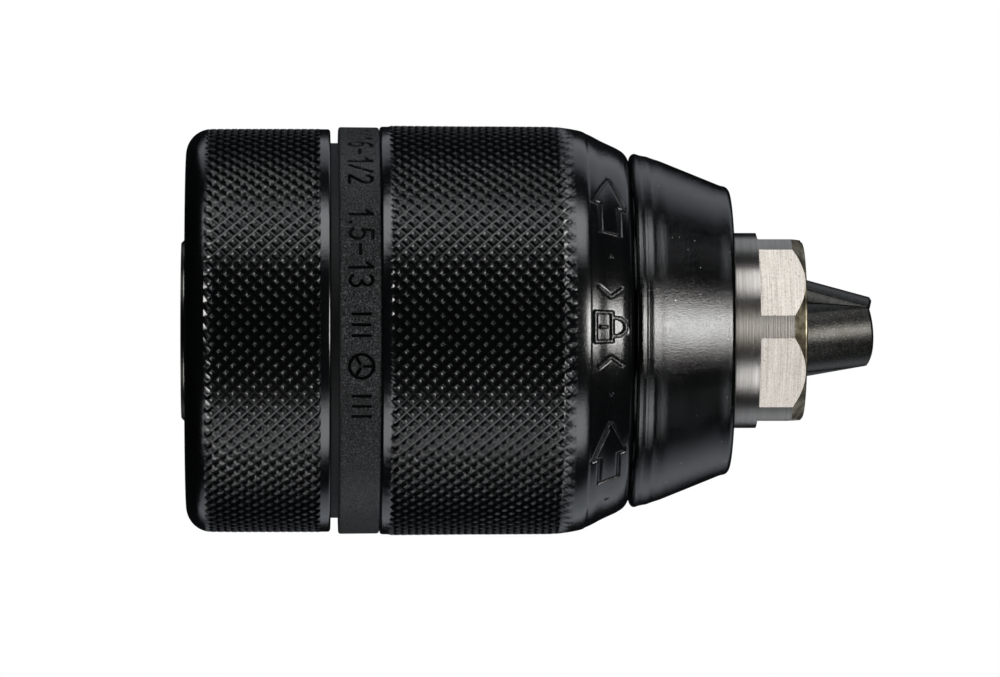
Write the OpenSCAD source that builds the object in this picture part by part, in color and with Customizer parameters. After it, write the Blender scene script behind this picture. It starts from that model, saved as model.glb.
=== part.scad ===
// Keyless drill chuck with a 1/2-20 spindle thread and a 1.5 to 13 mm grip.
// The axis is +Z with the nose up, and z = 0 is the rear face of the shank.
// Turning the front sleeve counterclockwise, seen from the nose, opens the jaws.

/* [Body] */
// Radius of the shank that carries the rear sleeve
shank_r = 9.5; // [9:0.1:11]
// Length of the shank behind the rear cone
shank_l = 14; // [12:0.5:15]
// Wall radius of the spindle thread, half of 1/2 inch
spindle_r = 6.35; // [5:0.05:8]
// Depth of the spindle thread
spindle_l = 16; // [14:0.5:17]
// Chamfer at the mouth of the spindle thread
spindle_chamfer = 0.25; // [0:0.05:0.25]
// Radius of the safety screw's clearance hole
screw_r = 3.2; // [2.5:0.1:4]
// Radius of the tool bore behind the jaws
tool_r = 6.6; // [6.5:0.05:7]
// Height of the tool bore's floor
tool_floor_z = 20.5; // [19:0.5:22]
// Height where the tool bore widens, just behind the place the jaws' bores break into it
guide_top_z = 31; // [29:0.1:31]
// Radius of the tool bore between the jaws
mouth_r = 6.8; // [6.6:0.05:7]
// Chamfer at the mouth of the tool bore
mouth_chamfer = 0.6; // [0.2:0.1:1]
// Radius of the flange behind the bearing
flange_r = 17; // [16.8:0.1:17.5]
// Height of the flange's rear edge
flange_z = 24.3; // [23:0.1:25]
// Height of the flange's front face, which carries the bearing
flange_front_z = 29.8; // [29:0.1:30]
// Radius of the body in front of the flange
front_r = 13.4; // [13:0.1:14]
// Radius of the body at the bottom of the nut's groove
neck_r = 10.6; // [10:0.1:10.9]
// Overall height of the body
body_h = 65.3; // [63:0.1:68]
// Radius of the collar and of the hexagon's rounded corners
collar_r = 10.27; // [9.8:0.01:10.9]
// Height where the collar leaves the nose cone's seat
collar_z = 56.5; // [55:0.1:57.5]
// Size of the wrench hexagon across its flats, 19 mm less its working clearance
hex_af = 18.86; // [18:0.01:19.5]
// Height where the wrench flats start
hex_z = 60.4; // [59:0.1:61]
// Azimuth of the first wrench flat
hex_turn = 58; // [0:1:60]

/* [Jaws] */
// Angle between a jaw and the chuck's axis
jaw_angle = 15.5; // [14:0.1:17]
// Radius of a jaw
jaw_r = 4; // [3.5:0.1:4.2]
// Height where the axes of the closed jaws cross
jaw_cross_z = 70.1; // [69:0.1:71]
// Length of a jaw past the crossing point
jaw_tip = 1.6; // [0:0.1:3]
// Length of a jaw
jaw_l = 35; // [32:0.1:35]
// Travel of a jaw along its own axis, from closed to 13 mm open
jaw_travel = 24.3; // [20:0.1:24.5]
// Azimuth of the first jaw
jaw_turn = 50; // [0:1:119]
// Clearance between two closed jaws' grip faces
jaw_gap = 0.1; // [0.05:0.01:0.2]
// Radial clearance between a jaw and its bore
jaw_bore_gap = 0.06; // [0.02:0.01:0.1]

/* [Jaw thread] */
// Pitch of the thread along a jaw
thread_pitch = 2; // [1.5:0.1:2.5]
// Height of the groove's floor above the jaw's axis
groove_floor = 3.05; // [2.8:0.05:3.5]
// Width of a jaw's groove at its floor
groove_floor_w = 0.95; // [0.8:0.05:1.2]
// Width of a jaw's groove at the jaw's surface
groove_top_w = 1.35; // [1.1:0.05:1.5]
// Height of the nut thread's crest above the jaw's axis
crest_top = 3.2; // [3:0.05:3.6]
// Width of the nut's thread at its crest
crest_w = 0.62; // [0.5:0.01:0.8]
// Width of the nut's thread at its root
crest_root_w = 1.14; // [0.8:0.01:1.4]
// Height of the nut thread's root above the jaw's axis
root_top = 4.2; // [4.1:0.05:4.5]

/* [Nut and bearing] */
// Height of the nut's rear face
nut_z = 34.5; // [34:0.1:35]
// Height of the nut's front face
nut_top_z = 41.4; // [41:0.1:42]
// Outer radius of the two nut halves
nut_r = 17.3; // [17:0.1:17.5]
// Outer radius of the steel band around the nut
band_r = 18.3; // [18:0.1:18.5]
// Azimuth of the split between the two nut halves
split_turn = 20; // [0:1:180]
// Thickness of the bearing's rear washer
rear_washer_h = 1; // [0.8:0.1:1.2]
// Radius of a bearing ball
ball_r = 1; // [0.8:0.05:1.1]
// Number of bearing balls
ball_count = 24; // [18:1:28]
// Radius of the circle that the balls run on
ball_circle_r = 16.75; // [16.5:0.05:17]
// Outer radius of the bearing's washers
washer_r = 18.1; // [17.5:0.1:18.3]
// Number of teeth on the ratchet ring
ratchet_teeth = 60; // [36:1:72]
// Rotation of the front sleeve between released and locked
lock_angle = 20; // [15:1:25]

/* [Sleeves] */
// Radius of the rear sleeve over its grip band
rear_grip_r = 21.22; // [20:0.01:23]
// Radius of the front sleeve over its grip band
front_grip_r = 21.46; // [20:0.01:23]
// Height of the rear sleeve's rear face
rear_sleeve_z = 0.5; // [0:0.1:1]
// Height of the rear sleeve's front face
rear_sleeve_top_z = 15.63; // [14:0.01:17]
// Height of the marking ring's rear face
ring_z = 16.45; // [15:0.01:18]
// Outer radius of the marking ring
ring_r = 21.38; // [20:0.01:23]
// Height of the front sleeve's rear face
front_sleeve_z = 20.8; // [19:0.01:22]
// Height of the front sleeve's front face
front_sleeve_top_z = 46.95; // [44:0.01:48]
// Inner radius of the front sleeve, over the drive sleeve
core_r = 19.6; // [19.3:0.05:19.8]
// Inner radius of the drive sleeve
core_bore_r = 19.05; // [18.9:0.05:19.2]

/* [Nose cone] */
// Height of the nose cone's rear edge
nose_z = 47.1; // [46:0.1:48]
// Height of the nose cone's front edge
nose_top_z = 57.9; // [56:0.1:60]
// Radius of the nose cone at its rear lip
nose_lip_r = 18.6; // [17.5:0.1:19]
// Radius of the cone's front edge rounding
nose_edge_r = 0.75; // [0.3:0.05:1]

/* [Hidden] */
$fn = 96;
eps = 0.01;
jaw_sin = sin(jaw_angle);
jaw_cos = cos(jaw_angle);
jaw_tan = tan(jaw_angle);
jaw_azimuths = [jaw_turn, jaw_turn + 120, jaw_turn + 240];
jaw_bore_r = jaw_r + jaw_bore_gap;
jaw_bore_l = jaw_l + jaw_travel + 4;
shank_edge = 0.3;
front_edge = 0.25;
flange_edge = 0.6;
nut_groove_gap = 0.3;
snap_gap = 0.05;
hex_chamfer_z = body_h - 1.4;
safety = 1;
jaw_tail_r = 18.75;
jaw_chamfer = 0.3;
thread_start = -0.35;
thread_mean_r = 13;
thread_lead = atan(thread_pitch * jaw_cos / (2 * PI * thread_mean_r));
groove_first = -34.1;
groove_last = -7.2;
ridge_first = -37.1;
ridge_last = -31.6;
ridge_step = 4;
ridge_seat = 0.3;
split_gap = 0.2;
ball_gap = 0.02;
race_z = flange_front_z + rear_washer_h;
ball_z = race_z + ball_r + ball_gap;
front_washer_z = ball_z + ball_r + ball_gap;
washer_bore_r = 15.6;
front_washer_bore_r = 15.2;
cage_h = 1.2;
cage_bore_r = 15.3;
cage_r = 18.15;
cage_hole_gap = 0.07;
nose_wall_r = 14.6;
nose_pocket_z = 52;
nose_tip_r = 14.55;
ratchet_z = 25.5;
ratchet_h = 3.5;
ratchet_root_r = 17.5;
ratchet_tip_r = 17.9;
tooth_rise = 0.12;
spring_t = 0.35;
spring_z = 35;
spring_h = 3.4;
spring_open = 40;
arm_step = 0.04;
pawl_turn = 95;
pawl_width = 24;
lug_width = 8;
lug_gap = 1;
lug_z = 39.3;
lug_h = 1.9;
lug_r = 17.5;
snap_z = 42.6;
snap_h = 0.9;
snap_groove_r = 12.6;
snap_r = 14.8;
front_wall_z = 43.6;
sleeve_bearing_gap = 0.06;
hub_r = 19.7;
hub_bore_r = 19.2;
hub_z = 13.6;
insert_r = 12.6;
insert_z = 3;
insert_h = 6;
rear_bore_r = hub_r + 0.35;
rear_pocket_r = 19.4;
rear_post_r = 14.2;
grip_step = 0.16;
sleeve_edge = 0.3;
front_grip_z = [21.9, 39.8];
rear_grip_z = [2.6, 14.65];
front_shoulder = [[21.2, 40.85], [20.98, 41.9], [20.56, 42.95], [20, 44], [19.51, 45.05],
    [19.2, 45.7], [18.96, 46.1]];
front_corner_r = 1.85;
rear_corner_r = 2.6;
ring_edge = 0.28;

// Radius of the cone that a point at height w above the jaw's axis sweeps, at height z.
function cone_r(w, z) = w / jaw_cos + (jaw_cross_z - z) * jaw_tan;

// A point given in a jaw's own frame, as [height above its axis, place along it], in [r, z].
function on_cone(w, u) = [w * jaw_cos - u * jaw_sin, jaw_cross_z + w * jaw_sin + u * jaw_cos];

// Points of a circular arc about [r, z], from one angle to another.
function arc(centre, radius, from, to, steps = 8) =
    [for (i = [0:steps]) centre + radius * [cos(from + (to - from) * i / steps),
        sin(from + (to - from) * i / steps)]];

// A plain ring between two radii.
module ring(r_in, r_out, z, h) {
    translate([0, 0, z]) rotate_extrude() translate([r_in, 0]) square([r_out - r_in, h]);
}

// Part of a plain ring, centred on an azimuth.
module ring_sector(r_in, r_out, z, h, azimuth, width) {
    translate([0, 0, z]) rotate([0, 0, azimuth - width / 2])
        rotate_extrude(angle = width) translate([r_in, 0]) square([r_out - r_in, h]);
}

// Moves its children from a jaw's own frame into its place in the closed chuck.
module in_jaw_frame() {
    translate([0, 0, jaw_cross_z]) rotate([0, -jaw_angle, 0]) children();
}

module body_profile() {
    groove_low = nut_z - nut_groove_gap;
    groove_high = nut_top_z + nut_groove_gap;
    snap_low = snap_z - snap_gap;
    snap_high = snap_z + snap_h + snap_gap;
    polygon([[0, 0], [shank_r - shank_edge, 0], [shank_r, shank_edge], [shank_r, shank_l],
        [flange_r - flange_edge, flange_z - flange_edge], [flange_r, flange_z],
        [flange_r, flange_front_z], [front_r, flange_front_z], [front_r, groove_low],
        [neck_r, groove_low], [neck_r, groove_high], [front_r, groove_high],
        [front_r, snap_low], [snap_groove_r, snap_low], [snap_groove_r, snap_high],
        [front_r, snap_high], [front_r, collar_z], [collar_r, collar_z],
        [collar_r, hex_chamfer_z], [shank_r, body_h - front_edge],
        [shank_r - front_edge, body_h], [0, body_h]]);
}

module wrench_hexagon() {
    rotate([0, 0, hex_turn - 30])
        cylinder(h = body_h, r = hex_af / 2 / cos(30), $fn = 6);
}

module chuck_body() {
    color([0.60, 0.58, 0.54])
    difference() {
        rotate_extrude() body_profile();
        translate([0, 0, hex_z]) difference() {
            cylinder(h = body_h, r = collar_r + safety);
            translate([0, 0, -safety]) wrench_hexagon();
        }
        translate([0, 0, -safety]) cylinder(h = spindle_l + safety, r = spindle_r);
        translate([0, 0, -eps]) cylinder(h = spindle_chamfer + eps,
            r1 = spindle_r + spindle_chamfer + eps, r2 = spindle_r);
        cylinder(h = tool_floor_z + safety, r = screw_r);
        translate([0, 0, tool_floor_z]) cylinder(h = body_h, r = tool_r);
        translate([0, 0, guide_top_z]) cylinder(h = body_h, r = mouth_r);
        translate([0, 0, body_h - mouth_chamfer]) cylinder(h = mouth_chamfer + eps,
            r1 = mouth_r, r2 = mouth_r + mouth_chamfer + eps);
        for (azimuth = jaw_azimuths)
            rotate([0, 0, azimuth]) in_jaw_frame()
                translate([0, 0, -jaw_bore_l]) cylinder(h = jaw_bore_l, r = jaw_bore_r);
    }
}

module nose_cone() {
    color([0.04, 0.04, 0.045])
    rotate_extrude() polygon(concat(
        [[front_r, nose_z], [nose_wall_r, nose_z], [nose_wall_r, nose_pocket_z],
            [nose_lip_r - 2.4, nose_pocket_z - 1], [nose_lip_r - 1.6, nose_z],
            [nose_lip_r - 0.5, nose_z], [nose_lip_r - 0.1, nose_z + 0.35],
            [nose_lip_r, nose_z + 0.7], [18.23, 49.3], [17.8, 50.3]],
        arc([nose_tip_r, nose_top_z - nose_edge_r - 0.4], nose_edge_r, 20, 80, 6),
        [[collar_r, nose_top_z], [collar_r, collar_z], [front_r, collar_z]]));
}

module snap_ring() {
    color([0.42, 0.42, 0.44])
    ring_sector(snap_groove_r, snap_r, snap_z, snap_h, 110, 330);
}

module ratchet_ring() {
    color([0.45, 0.45, 0.46])
    translate([0, 0, ratchet_z]) difference() {
        linear_extrude(ratchet_h) polygon([for (i = [0:ratchet_teeth - 1], side = [0, 1])
            let (a = (i + side * tooth_rise) * 360 / ratchet_teeth,
                r = side == 0 ? ratchet_root_r : ratchet_tip_r)
            [r * cos(a), r * sin(a)]]);
        translate([0, 0, -safety]) cylinder(h = ratchet_h + 2 * safety, r = flange_r);
    }
}

module rear_thrust_washer() {
    color([0.62, 0.62, 0.63])
    ring(washer_bore_r, washer_r, flange_front_z, rear_washer_h);
}

module ball_cage() {
    color([0.72, 0.60, 0.36])
    difference() {
        ring(cage_bore_r, cage_r, ball_z - cage_h / 2, cage_h);
        for (i = [0:ball_count - 1])
            rotate([0, 0, i * 360 / ball_count]) translate([ball_circle_r, 0, ball_z - 2])
                cylinder(h = 4, r = ball_r + cage_hole_gap, $fn = 32);
    }
}

module bearing_balls() {
    color([0.80, 0.80, 0.82])
    for (i = [0:ball_count - 1])
        rotate([0, 0, i * 360 / ball_count]) translate([ball_circle_r, 0, ball_z])
            sphere(r = ball_r, $fn = 32);
}

module front_thrust_washer() {
    color([0.62, 0.62, 0.63])
    ring(front_washer_bore_r, washer_r, front_washer_z, nut_z - front_washer_z);
}

// Corners of the nut thread's section at one azimuth, on one turn of the thread.
function ridge_section(azimuth, turn) =
    let (u = thread_pitch * (thread_start + azimuth / 360 + turn),
        deep = root_top + ridge_seat,
        slope = (crest_root_w - crest_w) / (root_top - crest_top),
        base_w = crest_w + slope * (deep - crest_top),
        corners = [on_cone(crest_top, u - crest_w / 2), on_cone(crest_top, u + crest_w / 2),
            on_cone(deep, u + base_w / 2), on_cone(deep, u - base_w / 2)])
    [for (c = corners) [c[0] * cos(azimuth), c[0] * sin(azimuth), c[1]]];

// One stretch of the nut's conical thread, between two azimuths.
module ridge(from, to, turn) {
    steps = ceil((to - from) / ridge_step);
    points = [for (i = [0:steps]) each ridge_section(from + (to - from) * i / steps, turn)];
    sides = [for (i = [0:steps - 1], k = [0:3], half = [0, 1])
        let (a = 4 * i + k, b = 4 * i + (k + 1) % 4)
        half == 0 ? [a, b + 4, b] : [a, a + 4, b + 4]];
    last = 4 * steps;
    ends = [[0, 1, 2], [0, 2, 3], [last, last + 2, last + 1], [last, last + 3, last + 2]];
    polyhedron(points, concat(sides, ends));
}

// One half of the split nut, which starts at the given azimuth.
module nut_half(start) {
    rotate([0, 0, start + split_gap / 2]) rotate_extrude(angle = 180 - split_gap)
        polygon([[cone_r(root_top, nut_z), nut_z], [nut_r, nut_z], [nut_r, nut_top_z],
            [cone_r(root_top, nut_top_z), nut_top_z]]);
    for (turn = [-22:-12]) {
        from = max(start + 0.5, 360 * (ridge_first / thread_pitch - thread_start - turn));
        to = min(start + 179.5, 360 * (ridge_last / thread_pitch - thread_start - turn));
        if (to - from > 8) ridge(from, to, turn);
    }
}

module nut_half_a() {
    color([0.38, 0.37, 0.36]) nut_half(split_turn);
}

module nut_half_b() {
    color([0.38, 0.37, 0.36]) nut_half(split_turn + 180);
}

module nut_band() {
    notch = lug_width + lock_angle + 2 * lug_gap;
    color([0.55, 0.55, 0.56])
    difference() {
        ring(nut_r, band_r, nut_z, nut_top_z - nut_z);
        for (azimuth = jaw_azimuths)
            ring_sector(nut_r - 0.5, band_r + 0.5, lug_z - 0.2, 5,
                azimuth - lock_angle / 2, notch);
    }
}

module pawl_spring() {
    color([0.50, 0.52, 0.56]) {
        ring_sector(band_r, band_r + spring_t, spring_z, spring_h, pawl_turn, 360 - spring_open);
        ring_sector(band_r + arm_step, band_r + spring_t - arm_step, ratchet_z + 0.4,
            spring_z - ratchet_z, pawl_turn, pawl_width);
        ring_sector(band_r - 0.2, band_r + spring_t / 2, ratchet_z + 0.8, ratchet_h - 1.2,
            pawl_turn + pawl_width / 2 - 3, 3);
        for (azimuth = [pawl_turn + 90, pawl_turn - 90])
            ring_sector(band_r + spring_t / 2, band_r + spring_t + 0.2, spring_z + 0.6,
                spring_h - 1.2, azimuth, 3);
    }
}

module drive_sleeve() {
    color([0.09, 0.09, 0.10])
    union() {
        rotate_extrude() polygon([[hub_bore_r, hub_z], [hub_r, hub_z],
            [hub_r, front_sleeve_z], [core_r, front_sleeve_z], [core_r, front_wall_z - 0.9],
            [core_bore_r, front_wall_z - 0.9], [core_bore_r, 22], [hub_bore_r, 21.6]]);
        for (azimuth = jaw_azimuths)
            ring_sector(lug_r, core_bore_r + 0.2, lug_z, lug_h, azimuth, lug_width);
    }
}

module clamping_sleeve() {
    r = front_grip_r - grip_step;
    bearing_r = front_r + sleeve_bearing_gap;
    color([0.05, 0.05, 0.055])
    rotate_extrude() polygon(concat(
        [[core_r, front_sleeve_z], [r - sleeve_edge, front_sleeve_z],
            [r, front_sleeve_z + sleeve_edge], [r, front_grip_z[0]],
            [front_grip_r, front_grip_z[0] + grip_step],
            [front_grip_r, front_grip_z[1] - grip_step], [r, front_grip_z[1]]],
        front_shoulder,
        arc([17.35, front_sleeve_top_z - front_corner_r], front_corner_r, 40, 85, 6),
        [[17.2, front_sleeve_top_z], [bearing_r + sleeve_edge, front_sleeve_top_z],
            [bearing_r, front_sleeve_top_z - sleeve_edge], [bearing_r, front_wall_z],
            [core_r - 0.7, front_wall_z], [core_r, front_wall_z - 0.7]]));
}

module marking_ring() {
    top = front_sleeve_z - 0.05;
    front = ring_r - 0.05;
    color([0.10, 0.10, 0.11])
    rotate_extrude() polygon([[hub_r, ring_z], [ring_r - ring_edge, ring_z],
        [ring_r, ring_z + ring_edge], [front, top - ring_edge], [front - ring_edge, top],
        [hub_r, top]]);
}

module holding_sleeve() {
    r = rear_grip_r - grip_step;
    insert_top_z = insert_z + insert_h;
    color([0.05, 0.05, 0.055])
    rotate_extrude() polygon(concat(
        [[shank_r, rear_sleeve_z + 0.12]],
        arc([18.2, rear_sleeve_z + rear_corner_r], rear_corner_r, -90, -22),
        [[rear_grip_r, rear_grip_z[0]], [rear_grip_r, rear_grip_z[1] - grip_step],
            [r, rear_grip_z[1]], [r, rear_sleeve_top_z - sleeve_edge],
            [r - sleeve_edge, rear_sleeve_top_z], [rear_bore_r, rear_sleeve_top_z],
            [rear_bore_r, hub_z - 0.6], [rear_pocket_r, hub_z - 1.2], [rear_pocket_r, 5.5],
            [rear_pocket_r - 2, 3.4], [rear_post_r, 3.4], [rear_post_r, insert_top_z],
            [insert_r, insert_top_z], [insert_r, insert_z], [shank_r, insert_z]]));
}

module holding_insert() {
    color([0.48, 0.48, 0.49])
    ring(shank_r, insert_r, insert_z, insert_h);
}

// A plain jaw in its own frame, with both ends chamfered.
module jaw_blank() {
    rear = jaw_tip - jaw_l;
    rotate_extrude() polygon([[0, rear], [jaw_r - jaw_chamfer, rear], [jaw_r, rear + jaw_chamfer],
        [jaw_r, jaw_tip - jaw_chamfer], [jaw_r - jaw_chamfer, jaw_tip], [0, jaw_tip]]);
}

// The cutter for one thread groove at place u along the jaw, curved and inclined as the nut's thread is.
module groove_cutter(u) {
    over = 0.4;
    slope = (groove_top_w - groove_floor_w) / (jaw_r - groove_floor);
    over_w = groove_top_w + slope * over;
    at = on_cone(jaw_r, u);
    section = [[groove_floor, -groove_floor_w / 2], [groove_floor, groove_floor_w / 2],
        [jaw_r + over, over_w / 2], [jaw_r + over, -over_w / 2]];
    translate([at[0], 0, at[1]]) rotate([thread_lead, 0, 0]) translate([-thread_mean_r, 0, 0])
        rotate([0, 0, -30]) rotate_extrude(angle = 60)
            polygon([for (s = section) on_cone(s[0], u + s[1]) - at + [thread_mean_r, 0]]);
}

// One jaw in its closed place. Its grooves start where the nut's thread passes its azimuth.
module jaw(azimuth) {
    wedge = 30;
    edge = jaw_gap / 2 / sin(60);
    phase = thread_pitch * (thread_start + azimuth / 360);
    first = ceil((groove_first - phase) / thread_pitch);
    last = floor((groove_last - phase) / thread_pitch);
    rotate([0, 0, azimuth]) difference() {
        intersection() {
            in_jaw_frame() jaw_blank();
            translate([0, 0, 30]) linear_extrude(50) polygon([[edge, 0],
                [edge + wedge, wedge * tan(60)], [edge + wedge, -wedge * tan(60)]]);
            translate([-jaw_travel * jaw_sin, 0, 30]) cylinder(h = 50, r = jaw_tail_r);
        }
        for (k = [first:last]) groove_cutter(phase + k * thread_pitch);
    }
}

module jaw_1() {
    color([0.30, 0.30, 0.31]) jaw(jaw_azimuths[0]);
}

module jaw_2() {
    color([0.30, 0.30, 0.31]) jaw(jaw_azimuths[1]);
}

module jaw_3() {
    color([0.30, 0.30, 0.31]) jaw(jaw_azimuths[2]);
}

chuck_body();
nose_cone();
snap_ring();
ratchet_ring();
rear_thrust_washer();
ball_cage();
bearing_balls();
front_thrust_washer();
nut_half_a();
nut_half_b();
nut_band();
pawl_spring();
drive_sleeve();
clamping_sleeve();
marking_ring();
holding_sleeve();
holding_insert();
jaw_1();
jaw_2();
jaw_3();
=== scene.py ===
"""Looks of the keyless drill chuck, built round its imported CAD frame.

Sizes of pieces are in millimetres until a mesh is made, and angles in degrees. The axis is +Z, nose up.
An azimuth goes round from +X to +Y. The camera looks along +Y with -X up, and sees the side at 270 degrees.
"""

import math

import bmesh
import bpy
import numpy as np
from mathutils import Matrix, Vector


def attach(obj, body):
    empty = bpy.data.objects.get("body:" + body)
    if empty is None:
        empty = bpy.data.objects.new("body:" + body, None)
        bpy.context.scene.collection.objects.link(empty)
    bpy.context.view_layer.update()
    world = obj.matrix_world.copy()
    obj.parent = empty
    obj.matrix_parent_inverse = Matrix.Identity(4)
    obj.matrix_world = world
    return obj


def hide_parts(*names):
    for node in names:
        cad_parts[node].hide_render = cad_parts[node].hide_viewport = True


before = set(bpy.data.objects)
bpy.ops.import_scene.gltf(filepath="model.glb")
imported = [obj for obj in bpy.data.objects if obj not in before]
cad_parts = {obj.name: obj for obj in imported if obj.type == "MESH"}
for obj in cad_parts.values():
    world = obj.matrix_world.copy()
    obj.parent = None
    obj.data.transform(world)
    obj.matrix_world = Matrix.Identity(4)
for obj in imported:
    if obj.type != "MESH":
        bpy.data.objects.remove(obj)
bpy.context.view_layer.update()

MM = 0.001
MICRON = 0.000001
FRONT = 270.0
JAW_AZIMUTHS = (50.0, 170.0, 290.0)

# Points round a plain ring, the nose cone, a spindle bore and a jaw
RING_STEPS = 184
NOSE_STEPS = 276
BORE_STEPS = 92
ROD_STEPS = 96

# Edges that turn by more than this are sharp, unless a piece gives its own angle
SHARP = 28.0

# Knurl, shared by both sleeves: flat diamonds with a slight crater, between narrow grooves
KNURL_COUNT = 92
KNURL_PERIOD = 1.47
KNURL_DEPTH = 0.34
KNURL_CRATER = 0.006
# Half widths of the two sets of grooves' floors and the way up to the diamonds, as shares of their spacing
GROOVE_EDGES = (0.045, 0.028)
DIAMOND_EDGE = 0.3
KNURL_SHARP = 40.0
# Plain bands beside the knurl, below its diamonds: their gap to it and their rounded edge
BAND_DROP = 0.1
BAND_GAP = 0.2
BAND_EDGE_R = 0.3

# Rear sleeve: the grooves get shallower towards its corner from a height down
REAR_FACE_Z = 0.5
REAR_TOP_Z = 15.63
REAR_GRIP_R = 21.17
REAR_GRIP_END_R = 21.26
REAR_GRIP = (2.65, 14.35)
REAR_ROOT_R = 20.85
REAR_ROOT_BEND_Z = 3.4
REAR_ROOT_SLOPE = 0.13
REAR_CORNER_R = 2.7
REAR_HOLE_R = 9.55
# (radius, height) outline of its inside, from the front edge to the hole round the shank
REAR_INSIDE = ((20.05, REAR_TOP_Z - 0.2), (20.05, 13.0), (19.4, 12.4), (19.4, 5.5), (17.4, 3.4), (14.2, 3.4),
               (14.2, 9.0), (12.65, 9.0), (12.65, 3.0), (REAR_HOLE_R, 3.0))

# Marking ring: its engraving's azimuths are from the front, and both halves carry it
RING_Z = 16.45
RING_TOP_Z = 20.75
RING_R = 21.38
RING_TAPER = 0.04
RING_CORNER = 0.28
RING_BORE_R = 19.75
RING_BORE_EDGE_R = 19.9
RING_TEXTS = (("1/16-1/2", -78.5), ("1.5-13", -34.8))
RING_SIGN_AT = 10.0
RING_TICKS_AT = (-4.5, -1.5, 1.5, 18.5, 21.5, 24.5)
RING_TICK_HALF = 0.9
RING_MARKS = (-82.0, 28.0)
RING_MARKS_Z = 18.7
RING_FINE, RING_ROW = 0.18, 0.07
RING_CUT, RING_STROKE = 0.17, (0.1, 0.22)

# Front sleeve
FRONT_Z = 20.8
FRONT_TOP_Z = 46.95
FRONT_GRIP_R = 21.53
FRONT_GRIP = (21.9, 40.75)
FRONT_GRIP_END_Z = 39.1
FRONT_ROOT_R = 21.09
FRONT_RUN_OUT = 0.1
FRONT_SURFACE = ((21.9, FRONT_GRIP_R), (30.0, 21.47), (39.2, 21.4), (39.8, 21.36), (40.3, 21.29),
                 (40.85, 21.2), (41.9, 20.98), (42.95, 20.56), (44.0, 20.0), (45.05, 19.51), (45.7, 19.2),
                 (46.1, 18.96))
FRONT_EDGE_R = 1.85
FRONT_EDGE_OUT_R = 18.9
FRONT_BORE_R = 19.65
FRONT_INSIDE = ((13.76, FRONT_TOP_Z), (13.46, FRONT_TOP_Z - 0.3), (13.46, 43.6), (18.9, 43.6),
                (FRONT_BORE_R, 42.9))
# Shoulder between the knurl and the legend, and the legend's rows, middle, crease and signs' azimuths
SHOULDER = (40.95, 41.8)
LEGEND = (41.9, 46.15)
LEGEND_Z = 44.35
LEGEND_R = 20.0
LEGEND_CREASE, LEGEND_CREASE_DEPTH = (42.2, 42.4), 0.06
LEGEND_FINE, LEGEND_ROW = 0.27, 0.11
LEGEND_CUT, LEGEND_STROKE = 0.2, (0.1, 0.24)
PADLOCK_AT, PADLOCK_REACH = -1.0, 14.5
ARROWS_AT, ARROW_REACH = (-40.3, 41.2), 13.5
DOTS_AT, DOT_REACH = (-67.5, -22.5, 19.4, 62.5), 1.2

# Steps between the engraved places of the ring and the front sleeve
COARSE = 1.5

# Nose cone: a curved foot with two fine creases, a straight slope and a rounded tip
NOSE_Z = 47.1
NOSE_TOP_Z = 57.9
NOSE_REAR = ((17.0, NOSE_Z + 0.15), (17.9, NOSE_Z))
NOSE_FOOT, NOSE_FOOT_R = (18.1, NOSE_Z + 0.5), 0.5
NOSE_SURFACE = ((47.5, 18.6), (47.75, 18.55), (47.98, 18.47), (48.49, 18.36), (48.9, 18.28), (49.2, 18.16),
                (49.7, 17.99), (50.0, 17.9), (50.3, 17.8))
NOSE_CURVED = (47.62, 50.3)
NOSE_CREASES = (48.1, 48.4)
CREASE_DEPTH = 0.014
CREASE_WIDTH = 0.05
NOSE_SLOPE = 22.0
NOSE_SLOPE_R = 17.8
NOSE_TIP, NOSE_TIP_R = (14.42, 56.75), 0.8
NOSE_TIP_END = 83.0

# Body
BODY_H = 65.3
SHANK_R = 9.5
COLLAR_R = 10.27
COLLAR_Z = 56.5
# (radius, height) outline from the shank's rear face to the collar, most of it inside the sleeves
BODY_OUTSIDE = ((SHANK_R - 0.3, 0.0), (SHANK_R, 0.3), (SHANK_R, 14.0), (16.4, 23.7), (17.0, 24.3),
                (17.0, 29.8), (13.4, 29.8), (13.4, 34.2), (10.6, 34.2), (10.6, 41.7), (13.4, 41.7),
                (13.4, 42.55), (12.6, 42.55), (12.6, 43.55), (13.4, 43.55), (13.4, COLLAR_Z),
                (COLLAR_R, COLLAR_Z))
# Wrench hexagon, whose first flat faces the azimuth HEX_TURN, and half the azimuth that a side takes
HEX_AF = 18.86
HEX_Z = 60.4
HEX_TURN = 58.0
HEX_HALF = 30.0
CHAMFER_Z = BODY_H - 1.4
CHAMFER_SLOPE = (COLLAR_R - 9.5) / 1.15
CHAMFER_TOP_R = 9.35
FACE_EDGE_R = 0.25
TOOL_R = 6.6
MOUTH_R = 6.8
MOUTH_CHAMFER = 0.6
GUIDE_TOP_Z = 31.0
FLOOR_Z = 20.5
SCREW_R = 3.2
SPINDLE_R = 6.35
SPINDLE_L = 16.0
THREAD_PITCH = 1.27
THREAD_DEPTH = 0.62
THREAD_TOP_Z, THREAD_L = 15.5, 15.0
THREAD_STEPS = 8
# How steep its flanks are, how much of their foot is cut off, and where it fades out at the rear
THREAD_FLANK, THREAD_FOOT = 2.6, 0.15
THREAD_FADE = (0.5, 1.6)
BODY_SHARP = 16.0

# Jaws
JAW_ANGLE = 15.5
JAW_R = 4.0
JAW_CROSS_Z = 70.1
JAW_TIP = 1.6
JAW_L = 35.0
JAW_TRAVEL = 24.3
JAW_GAP = 0.1
JAW_TAIL_R = 18.75
JAW_CHAMFER = 0.3
JAW_EDGE = 0.07
JAW_BORE_GAP = 0.06
JAW_BORE_REACH = 4.0
JAW_CUT_Z = (30.0, 80.0)
JAW_SHARP = 35.0
WEDGE_HALF = 60.0
WEDGE_REACH = 30.0
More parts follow.
